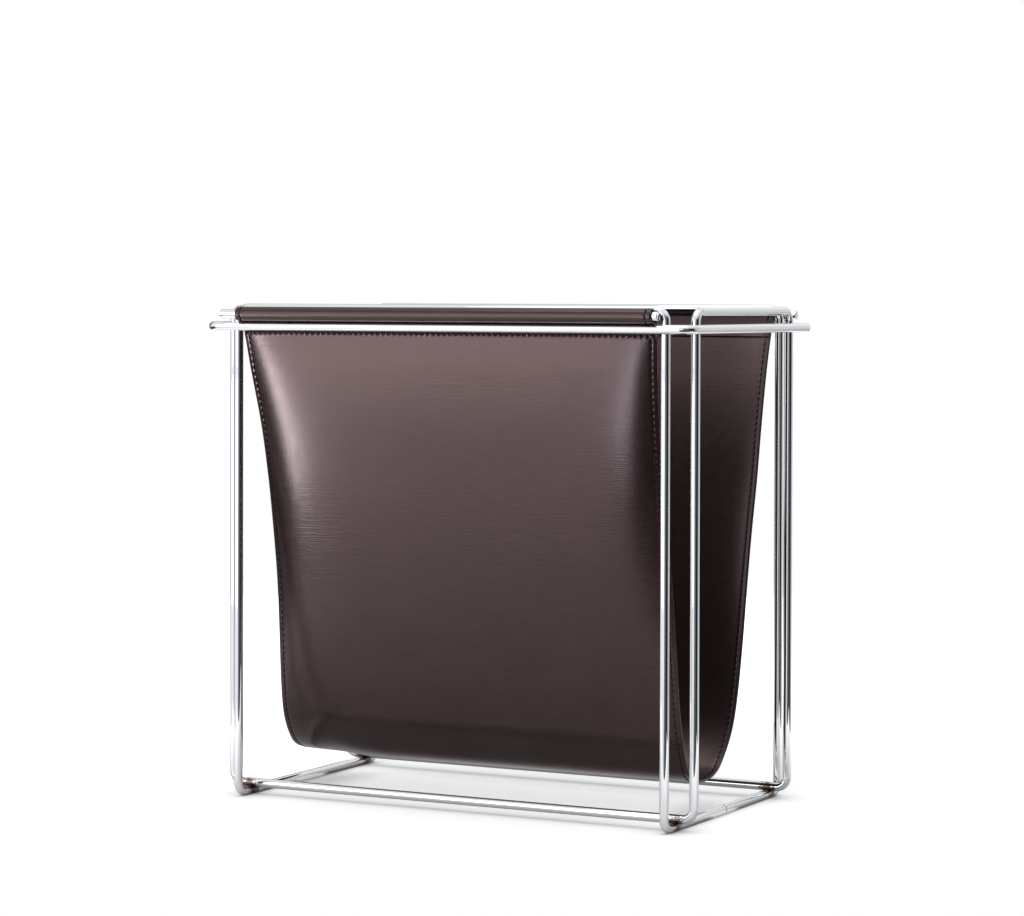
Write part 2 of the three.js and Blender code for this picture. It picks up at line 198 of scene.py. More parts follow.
# Studio: a white set, darker towards the camera's right-hand side and below the table's edge.
# The places of the ramp are compass angles of the surroundings, counted from +X towards +Y.
studioSettings = {
    "surroundings": (
        (-180, (0.92, 0.93, 0.95)),
        (-82, (0.95, 0.95, 0.98)),
        (-75, (0.62, 0.65, 0.76)),
        (-71, (0.15, 0.155, 0.19)),
        (-36, (0.11, 0.11, 0.125)),
        (-29, (0.010, 0.010, 0.012)),
        (2, (0.010, 0.010, 0.012)),
        (12, (0.22, 0.22, 0.22)),
        (30, (0.55, 0.55, 0.55)),
        (62, (0.60, 0.60, 0.60)),
        (80, (0.92, 0.92, 0.93)),
        (110, (0.88, 0.89, 0.90)),
        (118, (0.16, 0.175, 0.18)),
        (169, (0.16, 0.175, 0.18)),
        (179, (0.92, 0.93, 0.95)),
    ),
    "ceiling": (0.88, 0.885, 0.90),
    "ceilingSpan": (0.30, 0.75),
    "below": (
        (-180, (0.07, 0.07, 0.075)),
        (-142, (0.07, 0.07, 0.075)),
        (-134, (0.80, 0.79, 0.79)),
        (-107, (0.80, 0.79, 0.79)),
        (-97, (0.07, 0.07, 0.075)),
        (12, (0.07, 0.07, 0.075)),
        (45, (0.55, 0.55, 0.55)),
        (85, (0.50, 0.50, 0.50)),
        (108, (0.07, 0.07, 0.075)),
    ),
    "belowSpan": (-0.20, -0.11),
    "seenColor": (1.0, 1.0, 1.0),
    "tableSize": (1.2, 2.1),
    "tableFront": 0.45,
    "tableTurn": 27.6,
    "tableColor": (0.60, 0.60, 0.605),
    "tableRoughness": 0.6,
    "tableSpecular": 0.25,
    # The table's glow, painted light: seen straight, then as seen in reflections, brighter under the fold.
    "lift": 0.60,
    "liftSpan": (0.30, 0.75),
    "reflectedGlowNear": 0.15,
    "reflectedGlowFar": 0.62,
    "reflectedGlowSpan": (0.20, 0.62),
    "foldReflectedGlow": 1.1,
    "foldSpan": (0.0, 0.032),
    "foldWide": 0.10,
    "underSpan": (0.05, 0.08),
    "underWide": 0.4,
    # Painted shade: how far the table's color darkens between the rails, in reflections only.
    "dimShare": 0.42,
    "dimSpan": (0.08, 0.12),
    # Painted shadow: ambient occlusion cuts the table's glow close to the rods.
    "contactReach": 0.045,
    "contactPower": 1.25,
    "contactSamples": 8,
}


def compassRamp(tree, compass, colors):
    ramp = addNode(tree, "ValToRGB", {"Fac": compass})
    stops = ramp.color_ramp.elements
    stops.remove(stops[-1])
    for index, (angle, color) in enumerate(colors):
        place = (angle + 180) / 360
        stop = stops[0] if index == 0 else stops.new(place)
        stop.position = place
        stop.color = (*color, 1.0)
    return ramp.outputs["Color"]


def makeWorld(studio):
    # One ring of colors round the basket, with a ceiling above it and a second ring below. The
    # camera itself sees a plain color.
    world = bpy.data.worlds.new("studio")
    scene.world = world
    world.use_nodes = True
    tree = world.node_tree
    direction = addNode(tree, "TexCoord").outputs["Generated"]
    compass = addNode(tree, "TexGradient", {"Vector": direction}, gradient_type="RADIAL").outputs["Fac"]
    height = splitNode(tree, direction)["Z"]
    upper = easeNode(tree, height, studio["ceilingSpan"], 0.0, 1.0)
    room = mixColor(tree, upper, compassRamp(tree, compass, studio["surroundings"]), studio["ceiling"])
    lower = easeNode(tree, height, studio["belowSpan"], 1.0, 0.0)
    room = mixColor(tree, lower, room, compassRamp(tree, compass, studio["below"]))
    seen = addNode(tree, "LightPath").outputs["Is Camera Ray"]
    feed(tree, tree.nodes["Background"], {"Color": mixColor(tree, seen, room, studio["seenColor"])})


def makeTable(studio):
    across, deep = studio["tableSize"]
    turn = np.radians(studio["tableTurn"])
    corners = np.array([(-across / 2, 0), (across / 2, 0), (across / 2, deep), (-across / 2, deep)])
    corners[:, 1] -= studio["tableFront"]
    turned = corners @ np.array([[np.cos(turn), np.sin(turn)], [-np.sin(turn), np.cos(turn)]])
    mesh = bpy.data.meshes.new("table")
    mesh.from_pydata([(x, y, 0.0) for x, y in turned], [], [(0, 1, 2, 3)])
    table = bpy.data.objects.new("table", mesh)
    scene.collection.objects.link(table)
    material, tree, shader = newMaterial("table")
    # Seen straight, and less so in a reflection, the table glows, painted light rising away from the
    # basket, and in a reflection it glows right under the fold, a painted reflection. Close to a rod
    # ambient occlusion cuts the glow to a painted shadow, and between the rails its color is darkened in a
    # reflection, painted shade.
    place = objectPlace(tree)
    away = addNode(tree, "VectorMath", {0: place}, operation="LENGTH").outputs["Value"]
    lift = easeNode(tree, away, studio["liftSpan"], studio["lift"], 1.0)
    # Painted reflection: the table's glow as seen in reflections, rising away from the basket.
    reflectedGlow = easeNode(tree, away, studio["reflectedGlowSpan"], studio["reflectedGlowNear"], studio["reflectedGlowFar"])
    acrossX, acrossY = (mathNode(tree, "ABSOLUTE", part) for part in splitNode(tree, place)[:2])
    under, fold = (mathNode(tree, "MAXIMUM", acrossY, timesNode(tree, acrossX, studio[key]))
                   for key in ("underWide", "foldWide"))
    # Painted shadow: ambient occlusion cuts the glow close to the rods.
    near = addNode(tree, "AmbientOcclusion", {"Distance": studio["contactReach"]},
                   samples=studio["contactSamples"]).outputs["AO"]
    shade = mathNode(tree, "POWER", near, studio["contactPower"])
    # Painted reflection: a glow under the fold, seen only in reflections.
    foldGlow = easeNode(tree, fold, studio["foldSpan"], studio["foldReflectedGlow"], 0.0)
    reflectedGlow = mathNode(tree, "MULTIPLY_ADD", reflectedGlow, shade, foldGlow)
    free = mathNode(tree, "MAXIMUM", shade, easeNode(tree, under, studio["underSpan"], 1.0, 0.0))
    lift = timesNode(tree, lift, free)
    rays = addNode(tree, "LightPath").outputs
    # Painted shade: the base color darkens between the rails, in reflections only.
    between = easeNode(tree, acrossY, studio["dimSpan"], studio["dimShare"], 0.0)
    dimmed = timesNode(tree, rays["Is Glossy Ray"], between)
    feed(tree, shader, {
        "Base Color": mixColor(tree, dimmed, studio["tableColor"], (0.0, 0.0, 0.0)),
        "Roughness": studio["tableRoughness"],
        "Specular IOR Level": studio["tableSpecular"],
        "Emission Color": (1.0, 1.0, 1.0),
        "Emission Strength": sumNode(tree, (rays["Is Camera Ray"], lift), (rays["Is Glossy Ray"], reflectedGlow)),
    })
    mesh.materials.append(material)


# Soft lights, turned to the basket. The angle is the compass angle that they stand at, the
# middle their height.
lightTarget = (0.0, 0.0, 0.22)
broadLight = {"angle": -118, "distance": 1.60, "width": 1.1, "color": (1.0, 0.98, 0.975)}
lightSettings = {
    "leftStrip": {
        "angle": -135.5, "distance": 1.05, "middle": 0.07, "width": 0.08, "height": 0.27,
        "power": 1.95, "color": (0.86, 1.0, 1.0), "onlyLeather": True},
    "frontStrip": {
        "angle": -96.5, "distance": 1.10, "middle": 0.05, "width": 0.09, "height": 0.24,
        "power": 0.85, "color": (0.70, 0.87, 1.0), "onlyLeather": True},
    "lowLight": {**broadLight, "middle": -0.26, "height": 0.36, "power": 1.25, "onlyLeather": True},
    "wideLight": {**broadLight, "middle": 0.15, "height": 0.28, "power": 3.4, "onlyLeather": False},
    "highLight": {**broadLight, "middle": 0.69, "height": 0.80, "power": 4.4, "onlyLeather": False},
    "topLight": {
        "angle": -100, "distance": 0.30, "middle": 1.75, "width": 1.2, "height": 1.2,
        "power": 7.0, "color": (1.0, 1.0, 1.0), "onlyLeather": False},
}


def makeLight(name, lamp):
    data = bpy.data.lights.new(name, "AREA")
    data.shape = "RECTANGLE"
    data.size, data.size_y = lamp["width"], lamp["height"]
    data.energy, data.color = lamp["power"], lamp["color"]
    angle, distance = np.radians(lamp["angle"]), lamp["distance"]
    place = np.array([distance * np.cos(angle), distance * np.sin(angle), lamp["middle"]])
    back = unit(place - lightTarget)
    side = np.array([-np.sin(angle), np.cos(angle), 0.0])
    light = placeObject(name, data, (side, np.cross(back, side), back), place)
    light.visible_camera = False
    return light


makeWorld(studioSettings)
makeTable(studioSettings)
lights = {key: makeLight(key, values) for key, values in lightSettings.items()}
print("basket: camera, studio and floor made")


# Meshes from arrays
def fullTurn(count):
    return np.linspace(0, 2 * np.pi, count, endpoint=False)


def tubePoints(path, sides, ups, radii, count):
    # A circle carried along a path: place + radius (side cos a + up sin a).
    angle = fullTurn(count)[None, :, None]
    ring = np.cos(angle) * sides[:, None, :] + np.sin(angle) * ups[:, None, :]
    return (path[:, None, :] + radii[:, None, None] * ring).reshape(-1, 3)


def facesOfGrid(rows, columns, closed=False):
    # Quads that join each point to its neighbours in the next row and the next column. The
    # columns run all the way round, and the rows do too where closed is set.
    row = np.arange(rows if closed else rows - 1)[:, None]
    column = np.arange(columns)[None, :]
    nextRow, nextColumn = (row + 1) % rows, (column + 1) % columns
    corners = [row * columns + column, row * columns + nextColumn,
               nextRow * columns + nextColumn, nextRow * columns + column]
    return np.stack(np.broadcast_arrays(*corners), axis=-1).reshape(-1, 4)


def tubeFaces(rows, sides):
    # The wall of a tube, and a fan over each end from its middle. The middles are the last points.
    count = rows * sides
    ring = np.arange(sides)
    fan = np.stack([ring, np.roll(ring, -1)], axis=1)
    firstFan = np.column_stack([fan, np.full(sides, count)])
    lastFan = np.column_stack([fan + count - sides, np.full(sides, count + 1)])
    return [facesOfGrid(rows, sides), firstFan[:, ::-1], lastFan]


def volumeOf(points, faceSets):
    # Six times the volume inside the faces: the sum of the triple products of their fans.
    total = 0.0
    for faces in faceSets:
        first = points[faces[:, 0]]
        for step in range(1, faces.shape[1] - 1):
            crossed = np.cross(points[faces[:, step]], points[faces[:, step + 1]])
            total += float(np.einsum("ij,ij->", first, crossed))
    return total


def makeMesh(name, points, faceSets, material, uv=None, values=None, sharp=None):
    if volumeOf(points, faceSets) < 0:
        faceSets = [faces[:, ::-1] for faces in faceSets]
    mesh = bpy.data.meshes.new(name)
    corners = np.concatenate([faces.ravel() for faces in faceSets])
    sizes = np.concatenate([np.full(len(faces), faces.shape[1]) for faces in faceSets])
    starts = np.append(0, np.cumsum(sizes)[:-1])
    mesh.vertices.add(len(points))
    mesh.vertices.foreach_set("co", points.astype(np.float32).ravel())
    mesh.loops.add(len(corners))
    mesh.loops.foreach_set("vertex_index", corners.astype(np.int32))
    mesh.polygons.add(len(sizes))
    mesh.polygons.foreach_set("loop_start", starts.astype(np.int32))
    mesh.polygons.foreach_set("use_smooth", np.ones(len(sizes), bool))
    mesh.update(calc_edges=True)
    if uv is not None:
        layer = mesh.uv_layers.new(name="cut")
        layer.data.foreach_set("uv", uv[corners].astype(np.float32).ravel())
    for key, numbers in (values or {}).items():
        attribute = mesh.attributes.new(key, "FLOAT", "POINT")
        attribute.data.foreach_set("value", numbers.astype(np.float32))
    if sharp is not None:
        mesh.set_sharp_from_angle(angle=np.radians(sharp))
    mesh.validate()
    mesh.materials.append(material)
    piece = bpy.data.objects.new(name, mesh)
    scene.collection.objects.link(piece)
    return piece


def finishPiece(piece, body, slot, *nodes):
    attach(piece, body)
    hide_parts(*nodes)
    return piece


# Shared shader effects
def fineVariation():
    # A broad and a fine noise, mixed and stretched between a low and a high value.
    group, start, end = newGroup(
        "fineVariation", {"Scale": 60.0, "Low": 0.0, "High": 1.0}, {"Value": "Float"})
    fineness, fineShare, middlePart = 7.3, 0.35, (0.3, 0.7)
    broad = noiseNode(group, start["Vector"], start["Scale"], 3.0)
    fine = noiseNode(group, start["Vector"], timesNode(group, start["Scale"], fineness), 2.0)
    both = sumNode(group, (broad, 1 - fineShare), (fine, fineShare))
    feed(group, end, {"Value": rangeNode(group, both, middlePart, start["Low"], start["High"])})
    return group


def hideGrain():
    # Brushed lines across the sling, over faint pebbles from cell distances and finer pores. The
    # tone also has broad patches.
    group, start, end = newGroup(
        "hideGrain", {"Scale": 900.0, "Pore Share": 0.18, "Brush Share": 1.6},
        {"Height": "Float", "Tone": "Float"})
    poreFineness, patchFineness, brushStretch, pebbleSmoothness = 1.7, 0.02, (1.0, 0.05, 1.0), 0.7
    pebbleDepth, patchTone, brushTone = -0.15, 0.35, 0.9
    place, scale = start["Vector"], start["Scale"]
    cells = {"Vector": place, "Scale": scale, "Smoothness": pebbleSmoothness}
    pebble = addNode(group, "TexVoronoi", cells, feature="SMOOTH_F1").outputs["Distance"]
    pore = noiseNode(group, place, timesNode(group, scale, poreFineness), 4.0, 0.6)
    patch = noiseNode(group, place, timesNode(group, scale, patchFineness), 2.0)
    stretched = addNode(group, "Mapping", {"Vector": place, "Scale": brushStretch}).outputs["Vector"]
    brush = noiseNode(group, stretched, scale, 3.0)
    feed(group, end, {
        "Height": sumNode(
            group, (pebble, pebbleDepth), (pore, start["Pore Share"]), (brush, start["Brush Share"])),
        "Tone": sumNode(group, (brush, brushTone), (patch, patchTone), (pebble, pebbleDepth)),
    })
    return group


def heatTint():
    # The brown of a heated plate: bare and burnt metal, mixed by a mask that noise breaks up.
    group, start, end = newGroup(
        "heatTint", {"Heat": 0.0, "Bare": (0.8, 0.8, 0.8, 1.0), "Burnt": (0.1, 0.06, 0.04, 1.0)},
        {"Color": "Color", "Mask": "Float"})
    patchScale, patchHeight, brownSpan, edgeSpan = 420.0, 1.1, (0.12, 0.55), (0.0, 0.15)
    patch = noiseNode(group, start["Vector"], patchScale, 5.0)
    uneven = mathNode(group, "MULTIPLY_ADD", patch, patchHeight, -patchHeight / 2)
    brown = easeNode(group, mathNode(group, "ADD", start["Heat"], uneven), brownSpan, 0.0, 1.0)
    mask = timesNode(group, brown, rangeNode(group, start["Heat"], edgeSpan, 0.0, 1.0))
    feed(group, end, {"Color": mixColor(group, mask, start["Bare"], start["Burnt"]), "Mask": mask})
    return group


variationGroup = fineVariation()
grainGroup = hideGrain()
heatGroup = heatTint()


def variedNode(tree, place, scale, low, high):
    return placeEffect(tree, variationGroup, Vector=place, Scale=scale, Low=low, High=high)["Value"]


# Chrome on the rods, and filler metal that is plated over
chromeSettings = {
    "bare": (0.86, 0.87, 0.885),
    "burnt": (0.155, 0.105, 0.085),
    "hazeScale": 90.0,
    "smooth": 0.012,
    "rough": 0.045,
    "burntRoughness": 0.22,
    "waveScale": 110.0,
    "waveDetail": 2.0,
    "waveHeight": 0.010 * mm,
}
fillerSettings = {
    "bare": (0.30, 0.235, 0.19),
    "burnt": (0.035, 0.02, 0.014),
    "hazeScale": 300.0,
    "smooth": 0.22,
    "rough": 0.48,
    "burntRoughness": None,
    "waveScale": 700.0,
    "waveDetail": 3.0,
    "waveHeight": 0.10 * mm,
}


def makeMetal(name, metal):
    # Browned by the mesh's burnMark. A burntRoughness takes over from the haze as it browns.
    material, tree, shader = newMaterial(name)
    place = objectPlace(tree)
    tint = placeEffect(tree, heatGroup, Vector=place, Heat=meshValue(tree, "burnMark"),
                       Bare=metal["bare"], Burnt=metal["burnt"])
    rough = variedNode(tree, place, metal["hazeScale"], metal["smooth"], metal["rough"])
    if metal["burntRoughness"] is not None:
        rough = rangeNode(tree, tint["Mask"], (0.0, 1.0), rough, metal["burntRoughness"])
    wave = noiseNode(tree, place, metal["waveScale"], metal["waveDetail"])
    feed(tree, shader, {
        "Base Color": tint["Color"],
        "Metallic": 1.0,
        "Roughness": rough,
        "Normal": bumpNode(tree, wave, metal["waveHeight"]),
    })
    return material


chromePlate = makeMetal("chromePlate", chromeSettings)
fillerMetal = makeMetal("fillerMetal", fillerSettings)


# Rods. The frame's sizes repeat those of the CAD model.
rodSettings = {
    "radius": 3.5 * mm,
    "bendRadius": 8.75 * mm,
    "sides": 32,
    "firstSide": (0.3, 0.4, 0.86),
    "bendSteps": 20,
    "runStep": 3.0 * mm,
    "crowding": 0.0,
    "topLoop": (371 * mm, 215 * mm, 387 * mm),
    "baseLoop": (402.5 * mm, 178 * mm, 385.7 * mm),
    "rimHeight": 372.7 * mm,
    "contactStep": 7.3 * mm,
    "weldSink": 1.4 * mm,
    "seamBulge": 0.12 * mm,
    "seamGroove": 0.36 * mm,
    "seamWidth": 1.3 * mm,
    "bulgeWidths": 2.4,
    "grooveWidths": 0.55,
    "heatReach": 6.8 * mm,
}
rodRadius = rodSettings["radius"]
topHalfX, topHalfY, topRailZ = np.array(rodSettings["topLoop"]) * (0.5, 0.5, 1.0)
baseHalfX, baseHalfY, endRailZ = np.array(rodSettings["baseLoop"]) * (0.5, 0.5, 1.0)
rimZ = rodSettings["rimHeight"]
rimHalfX = baseHalfX + rodSettings["contactStep"]
rimHalfY = topHalfY + rodSettings["contactStep"]
footRailZ = rodRadius
baseRailZ = 3 * rodRadius - rodSettings["weldSink"]
cornerSigns = ((1, -1), (1, 1), (-1, -1), (-1, 1))
footCrossings = np.array([
    (sx * topHalfX, sy * baseHalfY, (footRailZ + baseRailZ) / 2) for sx, sy in cornerSigns])


def loopPath(corners, rod):
    # Quarter circles at the corners, and between them straight runs. The steps of a run are
    # shares t + crowding sin(2 pi t) / (2 pi) of it, so they lie closer half way along.
    radius, places, headings = rod["bendRadius"], [], []
    turn = np.linspace(0, np.pi / 2, rod["bendSteps"] + 1)[:, None]
    for index, corner in enumerate(corners):
        after = corners[(index + 1) % len(corners)]
        along, onward = unit(corner - corners[index - 1]), unit(after - corner)
        places.append(corner + radius * ((np.sin(turn) - 1) * along + (1 - np.cos(turn)) * onward))
        headings.append(np.cos(turn) * along + np.sin(turn) * onward)
        run = np.linalg.norm(after - corner) - 2 * radius
        count = round(run / rod["runStep"])
        steps = np.arange(1, count)[:, None] / count
        steps = steps + rod["crowding"] * np.sin(2 * np.pi * steps) / (2 * np.pi)
        places.append(corner + onward * (radius + steps * run))
        headings.append(np.repeat(onward[None, :], len(steps), axis=0))
    return np.concatenate(places), np.concatenate(headings)


def rollingFrames(headings, first):
    # Side directions carried along a closed path without twist; what is left over at the
    # end is shared out evenly.
    sides = [unit(first - headings[0] * (first @ headings[0]))]
    for heading in headings[1:]:
        sides.append(unit(sides[-1] - heading * (sides[-1] @ heading)))
    last = unit(sides[-1] - headings[0] * (sides[-1] @ headings[0]))
    twist = np.arctan2(np.cross(sides[0], last) @ headings[0], sides[0] @ last)
    sides = np.array(sides)
    ups = np.cross(headings, sides)
    back = -twist * np.linspace(0, 1, len(headings), endpoint=False)[:, None]
    return np.cos(back) * sides + np.sin(back) * ups


def heatNear(points, crossings, reach):
    # 1 at a weld, and exp(-(distance / reach)^2) away from it. The attribute that carries it is
    # called burnMark: the renderer keeps the name heat for smoke.
    gaps = np.linalg.norm(points[:, None, :] - crossings[None, :, :], axis=2).min(axis=1)
    return np.exp(-((gaps / reach) ** 2))


def sweptLoop(name, corners, rod):
    # A closed tube, browned in the groove of its seam and near the welds at the foot.
    count = rod["sides"]
    path, headings = loopPath(np.array(corners, float), rod)
    sides = rollingFrames(headings, np.array(rod["firstSide"]))
    radii = seamRadius(path, rod)
    points = tubePoints(path, sides, np.cross(headings, sides), radii, count)
    sunk = np.clip(rodRadius - radii, 0, None) / rod["seamGroove"]
    heat = np.maximum(heatNear(points, footCrossings, rod["heatReach"]), np.repeat(sunk, count))
    faces = facesOfGrid(len(path), count, closed=True)
    return makeMesh(name, points, [faces], chromePlate, values={"burnMark": heat})


def boxCorners(halfX, halfY, longZ, endZ):
    # The eight corners of a loop, from the heights of its long rails and of its end rails.
    return [(halfX, -halfY, longZ), (halfX, -halfY, endZ), (halfX, halfY, endZ), (halfX, halfY, longZ),
            (-halfX, halfY, longZ), (-halfX, halfY, endZ), (-halfX, -halfY, endZ), (-halfX, -halfY, longZ)]


def seamRadius(path, rod):
    # The rod's radius, with a slight bulge and a groove in it half way along the right floor rail.
    onRail = (path[:, 0] > 0) & (path[:, 2] < 2 * rodRadius)
    away = np.where(onRail, np.abs(path[:, 1]), 1.0) / rod["seamWidth"]
    bulge = rod["seamBulge"] * np.exp(-((away / rod["bulgeWidths"]) ** 2))
    groove = rod["seamGroove"] * np.exp(-((away / rod["grooveWidths"]) ** 2))
    return rodRadius + bulge - groove


seamedRod = {**rodSettings, "runStep": 2.0 * mm, "crowding": 0.85}
rimCorners = [(rimHalfX, -rimHalfY, rimZ), (rimHalfX, rimHalfY, rimZ),
              (-rimHalfX, rimHalfY, rimZ), (-rimHalfX, -rimHalfY, rimZ)]
for name, node, corners, rod in (
        ("top_loop_rod", "top_loop", boxCorners(topHalfX, topHalfY, topRailZ, footRailZ), seamedRod),
        ("base_loop_rod", "base_loop", boxCorners(baseHalfX, baseHalfY, baseRailZ, endRailZ), rodSettings),
        ("rim_rod", "rim_ring", rimCorners, rodSettings)):
    finishPiece(sweptLoop(name, corners, rod), "basket", "chrome_rod", node)
print("basket: frame rods swept")


# Loose rods, each where its CAD node lies
hangerSettings = {
    "chamfer": 0.6 * mm,
    "chamferSteps": 5,
    "runSteps": 90,
    "sides": 32,
    "sharp": 35,
}


def looseRod(name, node, rod):
    # A straight tube, its radius drawn in over the rounded ends.
    low, high = (np.array(corner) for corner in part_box(node))
    middle, chamfer = (low + high) / 2, rod["chamfer"]
    turn = np.linspace(0, np.pi / 2, rod["chamferSteps"] + 1)
    inset, thinner = chamfer * (1 - np.cos(turn)), chamfer * (1 - np.sin(turn))
    run = np.linspace(low[0] + chamfer, high[0] - chamfer, rod["runSteps"])[1:-1]
    along = np.concatenate([low[0] + inset, run, high[0] - inset[::-1]])
    radii = rodRadius - np.concatenate([thinner, np.zeros(len(run)), thinner[::-1]])
    path = np.column_stack([along, np.full(len(along), middle[1]), np.full(len(along), middle[2])])
    sides, ups = (np.repeat([axis], len(along), axis=0) for axis in (axisY, axisZ))
    points = np.concatenate([tubePoints(path, sides, ups, radii, rod["sides"]), path[[0, -1]]])
    return makeMesh(name, points, tubeFaces(len(along), rod["sides"]), chromePlate,
                    values={"burnMark": np.zeros(len(points))}, sharp=rod["sharp"])


for side in ("front", "back"):
    hanger = looseRod(side + "_loose_rod", side + "_hanger_rod", hangerSettings)
    finishPiece(hanger, side + "_hanger", "chrome_rod", side + "_hanger_rod")
print("basket: loose rods made")


# Filler metal between two crossing rods
filletSettings = {
    "footReach": 4.5 * mm,
    "footWaist": 2.95 * mm,
    "rimReach": 3.3 * mm,
    "rimWaist": 1.5 * mm,
    "wrap": 62.0,
    "around": 40,
    "steps": 9,
    "insideShare": 0.55,
    "ripple": 0.06,
    "rippleWaves": (2, 3, 5),
    "leastMark": 0.35,
    "markReach": 3.4 * mm,
    "seedStep": 10,
}


def crossingFillet(name, first, second, firstAxis, secondAxis, kind, weld, seed):
    # Round the contact, a curve drawn in to a waist runs from a line on the first rod to a
    # line on the second: (1 - t)^2 A + 2 t (1 - t) W + t^2 B. Inside the rods it is closed.
    across = unit(second - first)
    angle = fullTurn(weld["around"])[:, None]
    randomState = np.random.default_rng(seed)
    waves = sum(randomState.normal(0, 1 / k) * np.cos(k * angle + randomState.uniform(0, 2 * np.pi))
                for k in weld["rippleWaves"])
    reachAt = weld[kind + "Reach"] * (1 + weld["ripple"] * waves)

    def lineOn(centre, axis, other, toOther, along, turned):
        turn = np.radians(weld["wrap"]) * turned
        return centre + reachAt * along * axis + rodRadius * (np.sin(turn) * other + np.cos(turn) * toOther)

    lineA = lineOn(first, firstAxis, secondAxis, across, np.cos(angle), np.sin(angle))
    lineB = lineOn(second, secondAxis, firstAxis, -across, np.sin(angle), np.cos(angle))
    middle = (first + second) / 2
    waistLine = middle + weld[kind + "Waist"] * (np.cos(angle) * firstAxis + np.sin(angle) * secondAxis)
    t = np.linspace(0, 1, weld["steps"])[:, None, None]
    rows = (1 - t) ** 2 * lineA + 2 * t * (1 - t) * waistLine + t ** 2 * lineB
    insideA = first + weld["insideShare"] * (lineA - first)
    insideB = second + weld["insideShare"] * (lineB - second)
    grid = np.concatenate([insideA[None], rows, insideB[None]])
    points = np.concatenate([grid.reshape(-1, 3), [first, second]])
    least = weld["leastMark"]
    heat = least + (1 - least) * heatNear(points, middle[None], weld["markReach"])
    faceSets = tubeFaces(len(grid), weld["around"])
    return makeMesh(name, points, faceSets, fillerMetal, values={"burnMark": heat})


for seed, (sx, sy) in enumerate(cornerSigns):
    corner = ("right" if sx > 0 else "left") + "_" + ("back" if sy > 0 else "front")
    topX, topY, baseX, baseY = sx * topHalfX, sy * topHalfY, sx * baseHalfX, sy * baseHalfY
    for name, node, kind, first, second, firstAxis, secondAxis in (
            ("foot_weld_", "foot_fillet_", "foot",
             (topX, baseY, baseRailZ), (topX, baseY, footRailZ), axisX, axisY),
            ("rim_long_weld_", "rim_fillet_long_", "rim",
             (topX, sy * rimHalfY, rimZ), (topX, topY, rimZ), axisX, axisZ),
            ("rim_end_weld_", "rim_fillet_end_", "rim",
             (sx * rimHalfX, baseY, rimZ), (baseX, baseY, rimZ), axisY, axisZ)):
        weld = crossingFillet(name + corner, np.array(first), np.array(second), firstAxis, secondAxis,
                              kind, filletSettings, seed)
        finishPiece(weld, "basket", "weld_fillet", node + corner)
        seed += filletSettings["seedStep"]
print("basket: welds made")


# Leather sling. Heights are shares of the panel's rise, depths of its reach from the middle
# at the rim, curls of curlDepth, widths of the sleeve's length and drifts of sideSwing. The
# left end is raised more broadly as well. Reaches and columns are millimetres, the columns
# counted from the side edge, and the edge steps are shares of edgeRound.
sling = {
    "height": (0, 0.008, 0.033, 0.093, 0.173, 0.293, 0.413, 0.533, 0.654, 0.774, 0.894, 0.974, 1),
    "depth": (0, 0.177, 0.298, 0.437, 0.534, 0.633, 0.719, 0.8, 0.874, 0.936, 0.979, 0.998, 1),
    "curl": (0.13, 0.14, 0.17, 0.36, 0.5, 0.82, 1.07, 1.14, 0.99, 0.83, 0.60, 0.34, 0.03),
    "leftCurl": (0.36, 0.36, 0.3, 0.1, 0, 0, 0, 0, 0, 0, 0, 0, 0),
    "reach": (12, 12, 12, 13, 15, 18, 19, 18, 17, 17, 14.5, 12, 11),
    "width": (0.985, 0.985, 0.987, 0.986, 0.979, 0.972, 0.966, 0.963, 0.961, 0.965, 0.982, 0.995, 1),
    "drift": (-1.4, -1.4, -1.355, -0.92, -0.49, -0.08, 0.19, 0.34, 0.48, 0.35, -0.03, -0.15, -0.17),
    "sleeveLength": 359.8 * mm,
    "curlDepth": 9.5 * mm,
    "leftReach": 60 * mm,
    "leftPower": 6,
    "sideSwing": 5 * mm,
    "thickness": 1.9 * mm,
    "sleevePlay": 0.4 * mm,
    "restGap": 0.5 * mm,
    "lift": 22.4 * mm,
    "lean": 8.5,
    "foldLength": 9.4 * mm,
    "outerLength": 400 * mm,
    "layerGap": 0.3 * mm,
    "plyGap": 0.04 * mm,
    "seamMargin": 4.2 * mm,
    "hemDrop": 4.5 * mm,
    "stitchPitch": 4.9 * mm,
    "rowsPerStitch": 5,
    "endMargin": 3 * mm,
    "spanSteps": 60,
    "shoulderSteps": 160,
    "wrapSteps": 400,
    "flapSteps": 80,
    "joinedSteps": 4,
    "evenStep": 0.1 * mm,
    "easedSteps": 12,
    "fineColumns": (0.8, 1.6, 2.4, 3.1, 3.7, 4.2, 4.7, 5.3, 6, 7, 8.4, 10, 12, 14.2, 17, 20, 24, 29, 36, 48),
    "coarseColumns": (0, 1.5, 6, 14, 26, 48),
    "fineMiddle": 13,
    "coarseMiddle": 5,
    "edgeSteps": (0, 0.18, 0.45, 1.0),
    "edgeRound": 0.35 * mm,
    "edgeWidth": 0.28 * mm,
    "reliefFrom": 0.5 * mm,
    "reliefFade": 2 * mm,
    "sharp": 50,
    "squareShare": 0.4,
    "grooveDepth": 0.20 * mm,
    "grooveWidth": 0.9 * mm,
    "hemGroove": 0.42 * mm,
    "pitDepth": 0.38 * mm,
    "pitWidth": 0.75 * mm,
    "puckerHeight": 0.04 * mm,
    "puckerWidth": 1.8 * mm,
}


def smoothThrough(values, count):
    # A curve through all values that keeps its slope at each (Catmull-Rom), count points a span.
    knots = np.array(values, float)
    padded = np.concatenate([[2 * knots[0] - knots[1]], knots, [2 * knots[-1] - knots[-2]]])
    t = (np.arange(count * (len(knots) - 1)) % count) / count
    span = np.repeat(np.arange(len(knots) - 1), count)
    p0, p1, p2, p3 = (padded[span + step] for step in range(4))
    inner = 0.5 * (2 * p1 + (p2 - p0) * t + (2 * p0 - 5 * p1 + 4 * p2 - p3) * t ** 2
                   + (3 * p1 - p0 - 3 * p2 + p3) * t ** 3)
    return np.append(inner, knots[-1])


